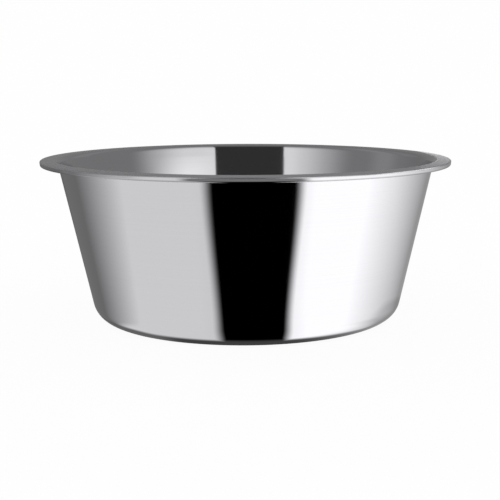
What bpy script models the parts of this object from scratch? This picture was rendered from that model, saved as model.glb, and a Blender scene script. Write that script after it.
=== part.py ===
"""A stainless steel feeding bowl, pressed in one piece from flat sheet.

The bowl is a turned shape. Its inner skin is one line, drawn from the middle of the floor
out to the folded edge, swept round the axis and thickened outward to the sheet.

Lengths are in metres and angles in radians. The bowl stands on z = 0, with the origin at
the middle of its base and +Z up its axis.
"""
from math import acos, cos, pi, radians, sin

import bmesh
import bpy
from mathutils import Vector

# Overall sizes
RIM_DIAMETER = 0.240        # across the outside of the folded lip
HEIGHT = 0.095              # standing plane to the top of the brim
SHEET = 0.0006              # thickness of the steel, the same everywhere

# Wall and base
WALL_LEAN = radians(12.7)   # how far the wall leans out from upright
CORNER_RADIUS = 0.0132      # outside of the bend between base and wall
FOOT_WIDTH = 0.0155         # width of the flat ring that the bowl stands on
PANEL_RISE = 0.0012         # how far the middle of the base is pushed up inside that ring
STEP_RADIUS = 0.0024        # both bends of the step between ring and raised middle

# Brim and folded lip
BRIM_WIDTH = 0.0103         # inner face of the wall to the outside of the lip, seen from above
BRIM_BEND_RADIUS = 0.0041   # top of the bend where the wall turns out into the brim
BRIM_DROOP = radians(4.5)   # how far the brim falls away toward the lip
LIP_BEND_RADIUS = 0.0008    # outside of the bends above and below the upright face of the lip
LIP_FACE = 0.0013           # straight part of that face, between the two bends
LIP_LEAN = radians(6.7)     # how far the face is tucked in toward its foot
LIP_RETURN = 0.0006         # straight end of the sheet, folded up behind the face

# Fineness of the surface
SEGMENTS_ROUND = 84         # flats in one turn, a multiple of 4 so that it is widest on X and Y
STEP_FACETS = 3             # flats in each bend of the base step
CORNER_FACETS = 6
BRIM_BEND_FACETS = 5        # flats from the wall up to the highest line
LIP_TOP_FACETS = 4          # flats from the brim to the outermost line of the lip
LIP_FOLD_FACETS = 6         # flats in the half turn at the foot of the lip
MERGE_DISTANCE = 0.00001

# Finish of the steel
STEEL_COLOUR = (0.60, 0.60, 0.61, 1.0)
STEEL_ROUGHNESS = 0.12


def arc(centre, radius, start, end, facets):
    """Points of a round stretch about centre, from one angle to the other, both included."""
    angles = [start + (end - start) * i / facets for i in range(facets + 1)]
    return [(centre[0] + radius * cos(a), centre[1] + radius * sin(a)) for a in angles]


def corner_centre():
    """Middle of the bend between base and wall, placed so that the wall reaches the brim."""
    mouth_radius = RIM_DIAMETER / 2 - BRIM_WIDTH
    fall = (HEIGHT - CORNER_RADIUS) * sin(WALL_LEAN)
    radius = mouth_radius - (fall + CORNER_RADIUS - SHEET) / cos(WALL_LEAN)
    return radius, CORNER_RADIUS


def brim_bend_centre():
    """Middle of the bend between wall and brim, touching the inner face of the wall."""
    mouth_radius = RIM_DIAMETER / 2 - BRIM_WIDTH
    radius = mouth_radius + BRIM_BEND_RADIUS * (1 - sin(WALL_LEAN)) / cos(WALL_LEAN)
    return radius, HEIGHT - BRIM_BEND_RADIUS


def lip_centres():
    """Middles of the lip's two bends: above, touching the brim from below, and at its foot."""
    bend_radius, bend_height = brim_bend_centre()
    radius = RIM_DIAMETER / 2 - LIP_BEND_RADIUS
    drop = BRIM_BEND_RADIUS - LIP_BEND_RADIUS - (radius - bend_radius) * sin(BRIM_DROOP)
    height = bend_height + drop / cos(BRIM_DROOP)
    foot = (radius - LIP_FACE * sin(LIP_LEAN), height - LIP_FACE * cos(LIP_LEAN))
    return (radius, height), foot


def base_line():
    """Raised middle of the base and the step down to the ring, as seen from inside."""
    turn = acos(1 - PANEL_RISE / (2 * STEP_RADIUS))
    ring_inner_radius = corner_centre()[0] - FOOT_WIDTH
    panel_radius = ring_inner_radius - 2 * STEP_RADIUS * sin(turn)
    panel_top = PANEL_RISE + SHEET
    upper_centre = (panel_radius, panel_top - STEP_RADIUS)
    lower_centre = (ring_inner_radius, SHEET + STEP_RADIUS)
    line = [(0.0, panel_top)]
    line += arc(upper_centre, STEP_RADIUS, pi / 2, pi / 2 - turn, STEP_FACETS)
    line += arc(lower_centre, STEP_RADIUS, -pi / 2 - turn, -pi / 2, STEP_FACETS)[1:]
    return line


def wall_line():
    """Bend from the ring into the wall; the straight wall starts at its last point."""
    return arc(corner_centre(), CORNER_RADIUS - SHEET, -pi / 2, -WALL_LEAN, CORNER_FACETS)


def brim_line():
    """Bend from the wall over the highest line, which the drooping brim leaves at a tangent."""
    centre = brim_bend_centre()
    brim_angle = pi / 2 - BRIM_DROOP
    line = arc(centre, BRIM_BEND_RADIUS, pi - WALL_LEAN, pi / 2, BRIM_BEND_FACETS)
    return line + arc(centre, BRIM_BEND_RADIUS, pi / 2, brim_angle, 1)[1:]


def lip_line():
    """Edge bent down into an upright face, then folded in and up behind it, left open."""
    upper, foot = lip_centres()
    line = arc(upper, LIP_BEND_RADIUS, pi / 2 - BRIM_DROOP, 0.0, LIP_TOP_FACETS)
    line += arc(upper, LIP_BEND_RADIUS, 0.0, -LIP_LEAN, 1)[1:]
    line += arc(foot, LIP_BEND_RADIUS, -LIP_LEAN, -LIP_LEAN - pi, LIP_FOLD_FACETS)
    end_radius, end_height = line[-1]
    line.append((end_radius + LIP_RETURN * sin(LIP_LEAN), end_height + LIP_RETURN * cos(LIP_LEAN)))
    return line


def turned_sheet(name, line, material):
    """Sweep a line of (radius, height) points round Z and thicken it outward to the sheet."""
    mesh = bpy.data.meshes.new(name)
    shape = bmesh.new()
    points = [shape.verts.new(Vector((radius, 0.0, height))) for radius, height in line]
    for first, second in zip(points, points[1:]):
        shape.edges.new((first, second))
    shape.to_mesh(mesh)
    shape.free()
    mesh.materials.append(material)

    piece = bpy.data.objects.new(name, mesh)
    screw = piece.modifiers.new("turn", "SCREW")
    screw.axis = "Z"
    screw.angle = 2 * pi
    screw.steps = SEGMENTS_ROUND
    screw.render_steps = SEGMENTS_ROUND
    screw.use_merge_vertices = True
    screw.merge_threshold = MERGE_DISTANCE
    screw.use_smooth_shade = True
    sheet = piece.modifiers.new("sheet", "SOLIDIFY")
    sheet.thickness = SHEET
    sheet.offset = -1.0
    sheet.use_even_offset = True
    sheet.use_quality_normals = True
    return piece


def steel():
    """Bright cold-rolled stainless steel."""
    material = bpy.data.materials.new("stainless_steel")
    material.use_nodes = True
    shader = material.node_tree.nodes["Principled BSDF"]
    shader.inputs["Base Color"].default_value = STEEL_COLOUR
    shader.inputs["Metallic"].default_value = 1.0
    shader.inputs["Roughness"].default_value = STEEL_ROUGHNESS
    return material


def build_bowl():
    """The whole bowl: one sheet of steel from the middle of its floor to the folded edge."""
    collection = bpy.data.collections.new("bowl")
    bpy.context.scene.collection.children.link(collection)
    line = base_line() + wall_line() + brim_line() + lip_line()
    collection.objects.link(turned_sheet("bowl_shell", line, steel()))


for existing in list(bpy.data.objects):
    bpy.data.objects.remove(existing, do_unlink=True)
build_bowl()
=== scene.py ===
"""Looks of the pressed steel bowl: polished steel, studio surroundings and the camera."""
from math import acos, cos, pi, radians, sin

import bmesh
import bpy
from mathutils import Matrix, Vector


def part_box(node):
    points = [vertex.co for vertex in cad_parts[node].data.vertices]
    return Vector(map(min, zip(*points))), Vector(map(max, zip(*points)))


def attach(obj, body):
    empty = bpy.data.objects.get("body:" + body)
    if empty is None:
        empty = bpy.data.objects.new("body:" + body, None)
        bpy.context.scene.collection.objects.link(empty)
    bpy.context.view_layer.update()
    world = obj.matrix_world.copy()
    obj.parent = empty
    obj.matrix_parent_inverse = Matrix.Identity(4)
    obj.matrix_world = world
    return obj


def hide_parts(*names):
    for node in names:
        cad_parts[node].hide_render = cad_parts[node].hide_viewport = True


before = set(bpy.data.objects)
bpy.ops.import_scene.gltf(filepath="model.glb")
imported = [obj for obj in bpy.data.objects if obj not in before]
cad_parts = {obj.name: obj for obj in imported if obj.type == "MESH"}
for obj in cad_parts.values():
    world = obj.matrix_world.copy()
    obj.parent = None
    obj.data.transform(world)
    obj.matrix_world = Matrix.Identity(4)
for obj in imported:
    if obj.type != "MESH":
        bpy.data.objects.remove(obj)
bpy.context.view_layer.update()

# The bowl's overall sizes come from the frame, in metres
TOP_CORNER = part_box("bowl_shell")[1]
RIM_RADIUS = TOP_CORNER.x
HEIGHT = TOP_CORNER.z

# The rest of its section, as it is built in the frame
SHEET = 0.0006
WALL_LEAN = radians(12.7)
CORNER_RADIUS = 0.0132
FOOT_WIDTH = 0.0155
PANEL_RISE = 0.0012
STEP_RADIUS = 0.0024
BRIM_WIDTH = 0.0103
BRIM_BEND_RADIUS = 0.0041
BRIM_DROOP = radians(4.5)
LIP_BEND_RADIUS = 0.0008
LIP_FACE = 0.0013
LIP_LEAN = radians(6.7)
LIP_RETURN = 0.0006

# Fineness of the turned surface
SEGMENTS_ROUND = 360
PANEL_ROWS = 10
STEP_FACETS = 8
RING_ROWS = 4
CORNER_FACETS = 24
WALL_ROWS = 16
BEND_FACETS = 16
CREST_FACETS = 2
BRIM_ROWS = 4
LIP_TOP_FACETS = 12
LIP_FACE_ROWS = 4
LIP_FOLD_FACETS = 20
MERGE_DISTANCE = 0.000001
SHARP_ANGLE = radians(40)

# Camera, at the height and distance that the photograph's perspective gives
CAMERA_PLACE = (0.0, -0.7081, 0.1515)
CAMERA_PITCH = 0.1572
CAMERA_YAW = 0.0383
CAMERA_ROLL = 0.0006
CAMERA_LENS_MM = 86.18
CAMERA_SENSOR_MM = 36.0
PICTURE_SHIFT = -0.0849     # the photograph was cut from a wider one, so its middle lies aside


# Section of the sheet

def arc(centre, radius, start, end, facets):
    """Points of a round stretch about centre, from one angle to the other, both included."""
    angles = [start + (end - start) * i / facets for i in range(facets + 1)]
    return [(centre[0] + radius * cos(a), centre[1] + radius * sin(a)) for a in angles]


def straight(first, second, rows):
    """Points between first and second, without the two ends."""
    steps = [i / rows for i in range(1, rows)]
    return [tuple(a + (b - a) * t for a, b in zip(first, second)) for t in steps]


def base_line(foot_radius):
    """Bends of the step between the raised middle of the base and the ring."""
    turn = acos(1 - PANEL_RISE / (2 * STEP_RADIUS))
    ring = (foot_radius - FOOT_WIDTH, SHEET + STEP_RADIUS)
    panel = (ring[0] - 2 * STEP_RADIUS * sin(turn), PANEL_RISE + SHEET - STEP_RADIUS)
    step = arc(panel, STEP_RADIUS, pi / 2, pi / 2 - turn, STEP_FACETS)
    return step + arc(ring, STEP_RADIUS, -pi / 2 - turn, -pi / 2, STEP_FACETS)[1:]


def lip_line(bend):
    """The brim's edge and upright face, and the fold behind it, as two stretches of points."""
    radius = RIM_RADIUS - LIP_BEND_RADIUS
    drop = BRIM_BEND_RADIUS - LIP_BEND_RADIUS - (radius - bend[0]) * sin(BRIM_DROOP)
    lip = (radius, bend[1] + drop / cos(BRIM_DROOP))
    lean = (sin(LIP_LEAN), cos(LIP_LEAN))
    foot = (lip[0] - LIP_FACE * lean[0], lip[1] - LIP_FACE * lean[1])
    edge = arc(lip, LIP_BEND_RADIUS, pi / 2 - BRIM_DROOP, 0.0, LIP_TOP_FACETS)
    edge += arc(lip, LIP_BEND_RADIUS, 0.0, -LIP_LEAN, 1)[1:]
    fold = arc(foot, LIP_BEND_RADIUS, -LIP_LEAN, -LIP_LEAN - pi, LIP_FOLD_FACETS)
    end = (fold[-1][0] + LIP_RETURN * lean[0], fold[-1][1] + LIP_RETURN * lean[1])
    return edge, fold + [end]


def section():
    """Inner skin of the bowl as (radius, height), from the middle of the floor to the lip."""
    mouth = RIM_RADIUS - BRIM_WIDTH
    fall = (HEIGHT - CORNER_RADIUS) * sin(WALL_LEAN)
    foot_radius = mouth - (fall + CORNER_RADIUS - SHEET) / cos(WALL_LEAN)
    bend = (mouth + BRIM_BEND_RADIUS * (1 - sin(WALL_LEAN)) / cos(WALL_LEAN),
            HEIGHT - BRIM_BEND_RADIUS)
    middle = (0.0, PANEL_RISE + SHEET)
    step = base_line(foot_radius)
    corner = arc((foot_radius, CORNER_RADIUS), CORNER_RADIUS - SHEET,
                 -pi / 2, -WALL_LEAN, CORNER_FACETS)
    brim = arc(bend, BRIM_BEND_RADIUS, pi - WALL_LEAN, pi / 2, BEND_FACETS)
    brim += arc(bend, BRIM_BEND_RADIUS, pi / 2, pi / 2 - BRIM_DROOP, CREST_FACETS)[1:]
    edge, fold = lip_line(bend)

    line = [middle] + straight(middle, step[0], PANEL_ROWS) + step
    line += straight(step[-1], corner[0], RING_ROWS) + corner
    line += straight(corner[-1], brim[0], WALL_ROWS) + brim
    line += straight(brim[-1], edge[0], BRIM_ROWS) + edge
    return line + straight(edge[-1], fold[0], LIP_FACE_ROWS) + fold


# Node helpers

def put(node, name, value):
    """Set an input by a number or colour, or link it if the value is another node's output."""
    socket = node.inputs[name]
    if isinstance(value, bpy.types.NodeSocket):
        node.id_data.links.new(value, socket)
    else:
        socket.default_value = value


def maths(tree, operation, first, second=0.0):
    node = tree.nodes.new("ShaderNodeMath")
    node.operation = operation
    put(node, 0, first)
    put(node, 1, second)
    return node.outputs[0]


def plus(tree, first, second):
    return maths(tree, "ADD", first, second)


def minus(tree, first, second):
    return maths(tree, "SUBTRACT", first, second)


def times(tree, first, second):
    return maths(tree, "MULTIPLY", first, second)


def vector_maths(tree, operation, first, second=(0.0, 0.0, 0.0)):
    node = tree.nodes.new("ShaderNodeVectorMath")
    node.operation = operation
    put(node, 0, first)
    put(node, 1, second)
    return node.outputs["Value" if operation == "LENGTH" else "Vector"]


def ramp(tree, value, start, end, low=0.0, high=1.0, shape="SMOOTHSTEP"):
    """Run from low to high while value goes from start to end, and hold outside that."""
    node = tree.nodes.new("ShaderNodeMapRange")
    node.interpolation_type = shape
    for name, number in zip(("Value", "From Min", "From Max", "To Min", "To Max"),
                            (value, start, end, low, high)):
        put(node, name, number)
    return node.outputs["Result"]


def mix(tree, share, first, second):
    node = tree.nodes.new("ShaderNodeMix")
    node.data_type = "FLOAT"
    put(node, 0, share)
    put(node, 2, first)
    put(node, 3, second)
    return node.outputs[0]


def noise(tree, place, scale, detail):
    node = tree.nodes.new("ShaderNodeTexNoise")
    put(node, "Vector", place)
    put(node, "Scale", scale)
    put(node, "Detail", detail)
    return node.outputs["Fac"]


def coordinate(tree, name):
    return tree.nodes.new("ShaderNodeTexCoord").outputs[name]


def split(tree, vector):
    """The x, y and z of a vector."""
    node = tree.nodes.new("ShaderNodeSeparateXYZ")
    put(node, 0, vector)
    return node.outputs


def compass(tree, x, y):
    """Degrees to the right and to the left of the side where the camera stands."""
    turn = times(tree, maths(tree, "ARCTAN2", x, times(tree, y, -1.0)), 180 / pi)
    return turn, times(tree, turn, -1.0)


def glow(tree, strength):
    node = tree.nodes.new("ShaderNodeEmission")
    put(node, "Strength", strength)
    return node.outputs[0]


def blend(tree, share, first, second):
    """Shader that goes from first to second by share."""
    node = tree.nodes.new("ShaderNodeMixShader")
    put(node, 0, share)
    put(node, 1, first)
    put(node, 2, second)
    return node.outputs[0]


def clear(tree):
    """Shader that lets light straight through."""
    return tree.nodes.new("ShaderNodeBsdfTransparent").outputs[0]


def empty_material(name):
    material = bpy.data.materials.new(name)
    material.use_nodes = True
    material.node_tree.nodes.clear()
    return material, material.node_tree


def show(tree, shader):
    """Make shader the material's surface."""
    put(tree.nodes.new("ShaderNodeOutputMaterial"), "Surface", shader)


# Steel

STEEL = (0.661, 0.658, 0.681)
WALL_ROUGHNESS = (0.035, 0.065)
BRIM_ROUGHNESS = (0.31, 0.41)
BRIM_FINISH_RADII = (0.1102, 0.1116)    # the satin finish comes in between these radii
BRIM_FINISH_HEIGHTS = (0.0914, 0.0924)  # and heights,
LIP_FINISH_RADII = (0.1180, 0.1190)     # and stops again between these radii,
LIP_FINISH_HEIGHTS = (0.0941, 0.0934)   # below these heights, because the lip is polished
FOLD_HEIGHTS = (0.0927, 0.0921)         # painted shade in the fold under the lip, below these heights
FOLD_SHADE_TONE = 0.6
FLOOR_FINISH_RADII = (0.064, 0.060)     # turned finish of the raised middle of the base
FLOOR_ROUGHNESS = (0.07, 0.17)
UNDERSIDE_HEIGHTS = (0.0016, 0.0013)    # its underside, left as the sheet was rolled
UNDERSIDE_ROUGHNESS = 0.3
CLOUDS_PER_METRE = 22.0                 # slow changes of the polish
CLOUD_DETAIL = 4.0
CLOUD_RANGE = (0.35, 0.65)
LINES_PER_METRE = 2600.0                # polishing lines that run round the bowl
LINE_DETAIL = 3.0
LINE_RANGE = (0.3, 0.7)
LINE_DEPTH = 0.000002
LINE_TONES = (0.992, 1.008)


def turned_lines(tree, radius, height):
    """Uneven fine lines round the axis, as a value from 0 to 1 along the section."""
    along = tree.nodes.new("ShaderNodeCombineXYZ")
    put(along, 0, radius)
    put(along, 1, height)
    lines = noise(tree, along.outputs[0], LINES_PER_METRE, LINE_DETAIL)
    return ramp(tree, lines, *LINE_RANGE)


def finishes(tree, radius, height):
    """Shares of the satin brim, the painted shade in the fold under the lip, the raised middle and
    its underside.
    """
    lip = ramp(tree, radius, *LIP_FINISH_RADII)
    face = times(tree, lip, ramp(tree, height, *LIP_FINISH_HEIGHTS))
    fold = times(tree, lip, ramp(tree, height, *FOLD_HEIGHTS))
    top = times(tree, ramp(tree, radius, *BRIM_FINISH_RADII),
                ramp(tree, height, *BRIM_FINISH_HEIGHTS))
    brim = maths(tree, "MAXIMUM", minus(tree, top, face), 0.0)
    middle = ramp(tree, radius, *FLOOR_FINISH_RADII)
    under = times(tree, middle, ramp(tree, height, *UNDERSIDE_HEIGHTS))
    return brim, fold, middle, under


def steel():
    """Polished steel with faint turned lines, a satin brim, a polished lip with painted shade in
    the fold under it, a turned floor and a dull underside."""
    material = bpy.data.materials.new("polished_steel")
    material.use_nodes = True
    tree = material.node_tree
    shader = tree.nodes["Principled BSDF"]
    shader.inputs["Metallic"].default_value = 1.0

    place = coordinate(tree, "Object")
    height = split(tree, place)[2]
    radius = vector_maths(tree, "LENGTH", vector_maths(tree, "MULTIPLY", place, (1.0, 1.0, 0.0)))
    lines = turned_lines(tree, radius, height)
    clouds = noise(tree, place, CLOUDS_PER_METRE, CLOUD_DETAIL)
    brim, fold, middle, under = finishes(tree, radius, height)

    rough = ramp(tree, clouds, *CLOUD_RANGE, *WALL_ROUGHNESS)
    rough = mix(tree, middle, rough, ramp(tree, lines, 0.0, 1.0, *FLOOR_ROUGHNESS))
    rough = mix(tree, under, rough, UNDERSIDE_ROUGHNESS)
    rough = mix(tree, brim, rough, ramp(tree, lines, 0.0, 1.0, *BRIM_ROUGHNESS))
    put(shader, "Roughness", rough)

    # Painted shade: the base colour is darkened in the fold under the lip
    tone = mix(tree, fold, ramp(tree, lines, 0.0, 1.0, *LINE_TONES), FOLD_SHADE_TONE)
    put(shader, "Base Color", vector_maths(tree, "MULTIPLY", STEEL, tone))

    bump = tree.nodes.new("ShaderNodeBump")
    put(bump, "Strength", maths(tree, "MAXIMUM", brim, middle))
    put(bump, "Distance", LINE_DEPTH)
    put(bump, "Height", lines)
    put(shader, "Normal", bump.outputs["Normal"])
    return material


def turned_sheet():
    """Mesh of the section, swept round the axis and thickened outward to the sheet."""
    mesh = bpy.data.meshes.new("bowl")
    shape = bmesh.new()
    points = [shape.verts.new(Vector((radius, 0.0, height))) for radius, height in section()]
    for first, second in zip(points, points[1:]):
        shape.edges.new((first, second))
    shape.to_mesh(mesh)
    shape.free()
    draft = bpy.data.objects.new("bowl_draft", mesh)
    bpy.context.scene.collection.objects.link(draft)
    screw = draft.modifiers.new("turn", "SCREW")
    screw.axis = "Z"
    screw.angle = 2 * pi
    screw.steps = SEGMENTS_ROUND
    screw.render_steps = SEGMENTS_ROUND
    screw.use_merge_vertices = True
    screw.merge_threshold = MERGE_DISTANCE
    sheet = draft.modifiers.new("sheet", "SOLIDIFY")
    sheet.thickness = SHEET
    sheet.offset = -1.0
    sheet.use_even_offset = True
    sheet.use_quality_normals = True
    evaluated = draft.evaluated_get(bpy.context.evaluated_depsgraph_get())
    final = bpy.data.meshes.new_from_object(evaluated)
    bpy.data.objects.remove(draft)
    return final


def shell():
    """The whole bowl as one finely turned sheet."""
    mesh = turned_sheet()
    mesh.shade_smooth()
    mesh.set_sharp_from_angle(angle=SHARP_ANGLE)
    mesh.materials.clear()
    mesh.materials.append(steel())
    bowl = bpy.data.objects.new("steel_bowl", mesh)
    bpy.context.scene.collection.objects.link(bowl)
    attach(bowl, "root")
    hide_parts("bowl_shell")


# Floor

# Turns are in degrees round the axis, from the camera's side
FLOOR_SIZE = 12.0
FLOOR_DROP = 0.00002                # keeps the floor clear of the ring that stands on it
PAPER_WHITE = 0.992
PAPER_MATT = (0.95, 0.95, 0.95, 1.0)
SHADOW_REACH = (0.16, 0.45)
SHADOW_SHARE = 0.04

# Painted shade in the gap at the foot, under the bowl's rounded corner, and the shade beside it
FOOT_SHADE = (0.0866, 0.0900)       # radius where the painted shade in the gap under the corner ends
FOOT_SHADE_LEFT = 0.0012            # how much larger that radius is on the left,
FOOT_SHADE_LEFT_TURNS = (36, 50)
FOOT_SHADE_RIGHT = 0.0011           # and how much smaller on the right
FOOT_SHADE_RIGHT_TURNS = (-60, 60)
FOOT_LIGHT_LEFT = 0.155
FOOT_LIGHT_LEFT_TURNS = (24, 36)
FOOT_LIGHT_FRONT = 0.065
FOOT_LIGHT_RIGHT = 0.5
FOOT_LIGHT_RIGHT_TURNS = (12, 85)
CONTACT_REACH = (0.0915, 0.1035)    # the bowl's own shade on the floor at its front right
CONTACT_TURNS = (38, 52)
CONTACT_SHARE = 0.2
CONTACT_GROWTH = 0.0165             # how much further out it reaches at its right
CONTACT_GROWTH_TURNS = (50, 82)

# The dark screen's image on the floor
SCREEN_START = 0.09                 # its edges are told from this radius outward
SCREEN_LENGTH = 0.2
SCREEN_LEFT = (10.2, 98.5, 0.03)    # angle of its left edge there, how fast it grows, its haze
SCREEN_RIGHT = (15.15, 120.0, 0.1)
SCREEN_BEND = 2.4                   # how fast that growth falls off
SCREEN_SOFT = (2.6, 7.0)            # half the width of its soft edge there, and how fast it grows
SCREEN_HAZE_WIDTH = 8.0             # faint haze outside the edge
SCREEN_REACH = (0.28, 0.36)         # how far out the screen stays black, and fades
SCREEN_FAR_LIGHT = 0.24
SCREEN_FLARE = 9.0                  # how much its left edge turns out by, far out
SCREEN_FLARE_REACH = (0.28, 0.38)


def screen_side(tree, angle, beyond, start, growth, haze):
    """1 inside the dark screen's edge on one side, where beyond is the distance from its start."""
    bent = minus(tree, 1.0, times(tree, beyond, SCREEN_BEND))
    edge = plus(tree, times(tree, times(tree, beyond, growth), bent), start)
    soft = plus(tree, times(tree, beyond, SCREEN_SOFT[1]), SCREEN_SOFT[0])
    core = ramp(tree, angle, plus(tree, edge, soft), minus(tree, edge, soft))
    outer = ramp(tree, angle, plus(tree, edge, SCREEN_HAZE_WIDTH), edge, 0.0, haze)
    return maths(tree, "MAXIMUM", core, outer)


def floor_screen(tree, reach, turn, left):
    """Share of the dark screen, which runs away in front of the bowl."""
    beyond = ramp(tree, reach, SCREEN_START, SCREEN_START + SCREEN_LENGTH,
                  0.0, SCREEN_LENGTH, "LINEAR")
    flare = ramp(tree, reach, *SCREEN_FLARE_REACH, 0.0, SCREEN_FLARE)
    return times(tree, screen_side(tree, minus(tree, left, flare), beyond, *SCREEN_LEFT),
                 screen_side(tree, turn, beyond, *SCREEN_RIGHT))


def foot_gap_shade(tree, reach, turn, left):
    """Share of the painted shade in the gap at the foot, and the light in it."""
    smaller = ramp(tree, turn, *FOOT_SHADE_RIGHT_TURNS, 0.0, FOOT_SHADE_RIGHT, "LINEAR")
    larger = ramp(tree, left, *FOOT_SHADE_LEFT_TURNS, 0.0, FOOT_SHADE_LEFT)
    gap_reach = plus(tree, reach, minus(tree, smaller, larger))
    light = ramp(tree, left, *FOOT_LIGHT_LEFT_TURNS, FOOT_LIGHT_FRONT, FOOT_LIGHT_LEFT)
    light = ramp(tree, turn, *FOOT_LIGHT_RIGHT_TURNS, light, FOOT_LIGHT_RIGHT)
    return ramp(tree, gap_reach, *FOOT_SHADE, 1.0, 0.0), light


def contact_shade(tree, reach, turn):
    """Share of the bowl's own shade on the floor at its right."""
    growth = ramp(tree, turn, *CONTACT_GROWTH_TURNS, 0.0, CONTACT_GROWTH)
    shade = ramp(tree, minus(tree, reach, growth), *CONTACT_REACH, CONTACT_SHARE, 0.0)
    return ramp(tree, turn, *CONTACT_TURNS, 0.0, shade)


def mirrored_floor(tree, place, reach):
    """The floor as the steel mirrors it: the studio beyond, but for the screen, and painted shade in
    the gap at the foot and of the bowl's own shade beside it."""
    x, y, _ = split(tree, place)
    turn, left = compass(tree, x, y)
    screen = floor_screen(tree, reach, turn, left)
    gap, gap_light = foot_gap_shade(tree, reach, turn, left)
    screen_light = ramp(tree, reach, *SCREEN_REACH, 0.0, SCREEN_FAR_LIGHT)
    # Painted shade: a dim glow in the screen's image and in the gap at the foot
    dark = glow(tree, mix(tree, gap, screen_light, gap_light))
    near_foot = maths(tree, "MAXIMUM", gap, contact_shade(tree, reach, turn))
    return blend(tree, maths(tree, "MAXIMUM", screen, near_foot), clear(tree), dark)


def floor():
    """Pale floor: white to the camera, with a soft shadow by the bowl, and for mirrored rays
    what mirrored_floor says."""
    bpy.ops.mesh.primitive_plane_add(size=FLOOR_SIZE, location=(0, 0, -FLOOR_DROP))
    plane = bpy.context.object
    plane.name = "floor"
    material, tree = empty_material("pale_floor")
    place = coordinate(tree, "Object")
    reach = vector_maths(tree, "LENGTH", place)
    rays = tree.nodes.new("ShaderNodeLightPath")
    matt = tree.nodes.new("ShaderNodeBsdfDiffuse")
    put(matt, "Color", PAPER_MATT)
    shade = ramp(tree, reach, *SHADOW_REACH, SHADOW_SHARE, 0.0)
    white_share = times(tree, rays.outputs["Is Camera Ray"], minus(tree, 1.0, shade))
    lit = blend(tree, white_share, matt.outputs[0], glow(tree, PAPER_WHITE))
    mirrored = mirrored_floor(tree, place, reach)
    show(tree, blend(tree, rays.outputs["Is Glossy Ray"], lit, mirrored))
    plane.data.materials.append(material)


# Studio below the horizon

# Turns are in degrees from the camera's side, and rises in degrees above the horizon
TABLE = 0.885                       # the pale table that the wall mirrors
SOFTBOX = 1.5                       # the bright softbox on its right
NEAR_SOFTBOX_END = (95, 165)
CLOSE_RISES = (-30, -42)            # below these the steel mirrors what is near, above them the rest
TABLE_END = (82, 152)               # where the table ends, far off on the left,
TABLE_END_RISE = -22.0              # as seen at this rise,
TABLE_END_SLANT = 1.2               # and how much sooner it ends for each degree higher
TABLE_END_POWER = 1.5
ROOM_BELOW = 0.12                   # the dim room beyond it, and the least light on this side
LEAST_BELOW = 0.187
HORIZON_RISES = (-3, -15)           # near the horizon the left is dimmer, most of all behind
HORIZON_TURNS = (150, 172)
HORIZON_SHARES = (0.9, 0.36)
AISLE_RISES = (-18.5, -16.0)        # a dimmer stretch far off, which the left of the lip mirrors
AISLE_START = (52, 70)
AISLE_END = (108, 120)
AISLE_SHARE = 0.68
FAR_SOFTBOX_END = (83, 152)
FAR_SOFTBOX_LEAST = 0.41
FAR_SOFTBOX_RISES = (-8, -20)
FAR_SOFTBOX_TOP = 0.8


def far_left_light(tree, left, rise):
    """Light from below the horizon far off on the left."""
    slant = times(tree, minus(tree, rise, TABLE_END_RISE), TABLE_END_SLANT)
    fall = ramp(tree, plus(tree, left, slant), *TABLE_END, 1.0, 0.0, "LINEAR")
    fall = maths(tree, "POWER", fall, TABLE_END_POWER)
    light = ramp(tree, fall, 0.0, 1.0, ROOM_BELOW, TABLE, "LINEAR")
    light = maths(tree, "MAXIMUM", light, LEAST_BELOW)
    by_horizon = ramp(tree, left, *HORIZON_TURNS, *HORIZON_SHARES)
    light = times(tree, light, ramp(tree, rise, *HORIZON_RISES, by_horizon, 1.0))
    aisle = ramp(tree, left, *AISLE_START, 1.0, ramp(tree, left, *AISLE_END, AISLE_SHARE, 1.0))
    return times(tree, light, ramp(tree, rise, *AISLE_RISES, 1.0, aisle))


def far_right_light(tree, turn, rise):
    """Light from below the horizon far off on the right."""
    light = ramp(tree, turn, *FAR_SOFTBOX_END, SOFTBOX, FAR_SOFTBOX_LEAST, "LINEAR")
    return times(tree, light, ramp(tree, rise, *FAR_SOFTBOX_RISES, FAR_SOFTBOX_TOP, 1.0, "LINEAR"))


def low_light(tree, turn, left, rise, is_right):
    """Light from below the horizon: the table, and the room where it ends."""
    near = mix(tree, is_right, TABLE, ramp(tree, turn, *NEAR_SOFTBOX_END, SOFTBOX, TABLE))
    far = mix(tree, is_right, far_left_light(tree, left, rise), far_right_light(tree, turn, rise))
    return mix(tree, ramp(tree, rise, *CLOSE_RISES), far, near)


# Studio above the horizon: a dark screen, a pale panel on each side of it, and the dim room

LEFT_PANEL = 0.97
LEFT_PANEL_END = (26, 80)
LEFT_DIP_START = (31, 40)           # the left panel is slightly dimmer between these
LEFT_DIP_END = (54, 64)
LEFT_DIP_SHARE = 0.955
RIGHT_PANEL = (1.0, 1.05)           # the right panel is brighter away from the screen
RIGHT_PANEL_TURNS = (20, 40)
RIGHT_PANEL_END = (40, 87)
RIGHT_FALL = (1.1, 0.88)            # and it is dimmer toward its top, along a line that sinks
RIGHT_FALL_RISES = (20.4, 21.4)     # with the square of the angle
RIGHT_FALL_SINK = 0.00092
RIGHT_FALL_START = (20, 38)
RIGHT_FALL_END = (60, 72)
RIGHT_FALL_SHARES = (0.35, 1.0, 0.2)    # how much of that by the screen, and in its middle and end
ROOM_RIGHT = 0.24
ROOM_LEFT = (0.255, 0.215)
ROOM_LEFT_TURNS = (115, 145)
STRIP_START = (88, 103)             # a paler strip in the room on the left
STRIP_END = (122, 107)
STRIP_SHARE = 1.17
BESIDE_STRIP_SHARES = (0.94, 1.04)
BESIDE_STRIP_TURNS = (150, 165)
BACK_START = (121, 130)             # the room is paler behind on both sides, which the two ends
BACK_END = (152, 142)               # of the rim mirror
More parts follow.
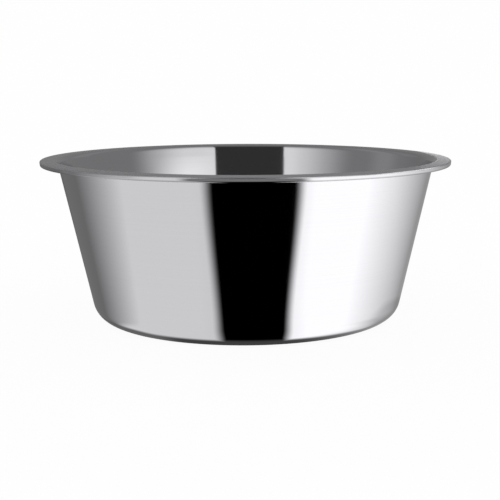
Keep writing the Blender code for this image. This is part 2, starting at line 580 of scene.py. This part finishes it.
BACK_RISES = (9.5, 11.5)
BACK_SHARE = 1.15
CEILING = 0.22
CEILING_RISES = (34, 88)
HIGH_SCREEN_LIGHTS = (0.038, 0.16)  # the screen is less dark toward its top
HIGH_SCREEN_RISES = (55, 85)
HORIZON = (-2, 1)                   # the two halves of the studio run into each other here

# How far across each side of the screen stands: a base, and a share of the cosine of the rise
LEFT_SIDE = (0.176, 0.252)
LEFT_STEP_RISES = (19.6, 20.6)      # between these rises it steps slightly inward
LEFT_STEP = (1.018, 0.993)
RIGHT_SIDE = (0.1665, 0.197)
RIGHT_STEP_RISES = (19.8, 20.7)
RIGHT_STEP = (1.004, 0.991)
SIDE_SOFTNESS = 0.02


def room_left_light(tree, left):
    """The dim room on the left, with its paler strip."""
    strip = times(tree, ramp(tree, left, *STRIP_START), ramp(tree, left, *STRIP_END))
    beside = ramp(tree, left, *BESIDE_STRIP_TURNS, *BESIDE_STRIP_SHARES)
    share = ramp(tree, strip, 0, 1, beside, STRIP_SHARE, "LINEAR")
    return times(tree, ramp(tree, left, *ROOM_LEFT_TURNS, *ROOM_LEFT), share)


def left_panel_light(tree, left):
    """The left panel, and the room beyond its end."""
    light = ramp(tree, left, *LEFT_PANEL_END, LEFT_PANEL, room_left_light(tree, left))
    dip_end = ramp(tree, left, *LEFT_DIP_END, LEFT_DIP_SHARE, 1.0)
    return times(tree, light, ramp(tree, left, *LEFT_DIP_START, 1.0, dip_end))


def right_panel_light(tree, turn, rise):
    """The right panel, which is dimmer toward its top, and the room beyond its end."""
    panel = ramp(tree, turn, *RIGHT_PANEL_TURNS, *RIGHT_PANEL)
    light = ramp(tree, turn, *RIGHT_PANEL_END, panel, ROOM_RIGHT)
    sunk = plus(tree, rise, times(tree, times(tree, turn, turn), RIGHT_FALL_SINK))
    fall = ramp(tree, sunk, *RIGHT_FALL_RISES, *RIGHT_FALL, "LINEAR")
    at_screen, in_middle, at_end = RIGHT_FALL_SHARES
    share = ramp(tree, turn, *RIGHT_FALL_END, in_middle, at_end)
    share = ramp(tree, turn, *RIGHT_FALL_START, at_screen, share)
    return times(tree, light, mix(tree, share, 1.0, fall))


def side_place(tree, level, rise, side, step_rises, step):
    """How far across one side of the screen stands."""
    base, share = side
    return times(tree, plus(tree, times(tree, level, share), base),
                 ramp(tree, rise, *step_rises, *step))


def high_screen(tree, x, y, z, rise):
    """Share of the dark screen, which stands in front."""
    level = maths(tree, "COSINE", maths(tree, "ARCSINE", z))
    left_place = side_place(tree, level, rise, LEFT_SIDE, LEFT_STEP_RISES, LEFT_STEP)
    right_place = side_place(tree, level, rise, RIGHT_SIDE, RIGHT_STEP_RISES, RIGHT_STEP)
    outside, inside = 1.0 + SIDE_SOFTNESS, 1.0 - SIDE_SOFTNESS
    in_left = ramp(tree, maths(tree, "DIVIDE", x, left_place), -outside, -inside)
    in_right = ramp(tree, maths(tree, "DIVIDE", x, right_place), outside, inside)
    in_front = maths(tree, "LESS_THAN", y, 0.0)
    return times(tree, times(tree, in_left, in_right), in_front)


def high_light(tree, turn, left, rise, is_right, screen):
    """Light from above the horizon: the screen, the panels, the room and its ceiling."""
    light = mix(tree, is_right, left_panel_light(tree, left), right_panel_light(tree, turn, rise))
    aside = maths(tree, "ABSOLUTE", turn)
    back = times(tree, ramp(tree, aside, *BACK_START), ramp(tree, aside, *BACK_END))
    back = ramp(tree, back, 0, 1, 1.0, BACK_SHARE)
    light = times(tree, light, ramp(tree, rise, *BACK_RISES, 1.0, back))
    light = mix(tree, ramp(tree, rise, *CEILING_RISES), light, CEILING)
    return mix(tree, screen, light, ramp(tree, rise, *HIGH_SCREEN_RISES, *HIGH_SCREEN_LIGHTS))


def studio():
    """Light from all round: white for the camera, and for the steel a black screen in front,
    a pale wall on the left, a bright softbox on the right and a dim room behind and above."""
    world = bpy.data.worlds.new("studio")
    bpy.context.scene.world = world
    world.use_nodes = True
    tree = world.node_tree
    tree.nodes.clear()
    x, y, z = split(tree, coordinate(tree, "Generated"))
    turn, left = compass(tree, x, y)
    rise = times(tree, maths(tree, "ARCSINE", z), 180 / pi)
    is_right = maths(tree, "GREATER_THAN", turn, 0.0)
    low = low_light(tree, turn, left, rise, is_right)
    screen = high_screen(tree, x, y, z, rise)
    high = high_light(tree, turn, left, rise, is_right, screen)
    light = mix(tree, ramp(tree, rise, *HORIZON), low, high)

    rays = tree.nodes.new("ShaderNodeLightPath")
    strength = mix(tree, rays.outputs["Is Glossy Ray"], 1.0, light)
    strength = mix(tree, rays.outputs["Is Camera Ray"], strength, PAPER_WHITE)
    surroundings = tree.nodes.new("ShaderNodeBackground")
    put(surroundings, "Color", (1.0, 1.0, 1.0, 1.0))
    put(surroundings, "Strength", strength)
    put(tree.nodes.new("ShaderNodeOutputWorld"), "Surface", surroundings.outputs[0])


# Cards, each given by its two ends in x and in y, and its lowest and highest z

CARD_LIGHT = 1.35
BACK_CARD = ((0.128, 0.175), (0.15, 0.15), (0.099, 0.124))
SIDE_CARD = ((0.133, 0.133), (-0.115, -0.036), (0.0975, 0.130))


def card(name, across, along, heights):
    """Small lit card close to the right of the brim; only shiny surfaces see it."""
    mesh = bpy.data.meshes.new(name)
    corners = [(x, y, z) for z in heights for x, y in zip(across, along)]
    mesh.from_pydata(corners, [], [(0, 1, 3, 2)])
    piece = bpy.data.objects.new(name, mesh)
    bpy.context.scene.collection.objects.link(piece)
    material, tree = empty_material(name + "_light")
    glossy = tree.nodes.new("ShaderNodeLightPath").outputs["Is Glossy Ray"]
    show(tree, blend(tree, glossy, clear(tree), glow(tree, CARD_LIGHT)))
    mesh.materials.append(material)


def camera():
    """Camera at the photograph's angle."""
    data = bpy.data.cameras.new("camera")
    data.lens = CAMERA_LENS_MM
    data.sensor_width = CAMERA_SENSOR_MM
    data.shift_x = PICTURE_SHIFT
    eye = bpy.data.objects.new("camera", data)
    turned = (Matrix.Rotation(-CAMERA_YAW, 4, "Z")
              @ Matrix.Rotation(pi / 2 - CAMERA_PITCH, 4, "X")
              @ Matrix.Rotation(CAMERA_ROLL, 4, "Z"))
    eye.matrix_world = Matrix.Translation(CAMERA_PLACE) @ turned
    bpy.context.scene.collection.objects.link(eye)
    bpy.context.scene.camera = eye


camera()
shell()
floor()
studio()
card("back_card", *BACK_CARD)
card("side_card", *SIDE_CARD)
bpy.context.scene.view_settings.view_transform = "Standard"
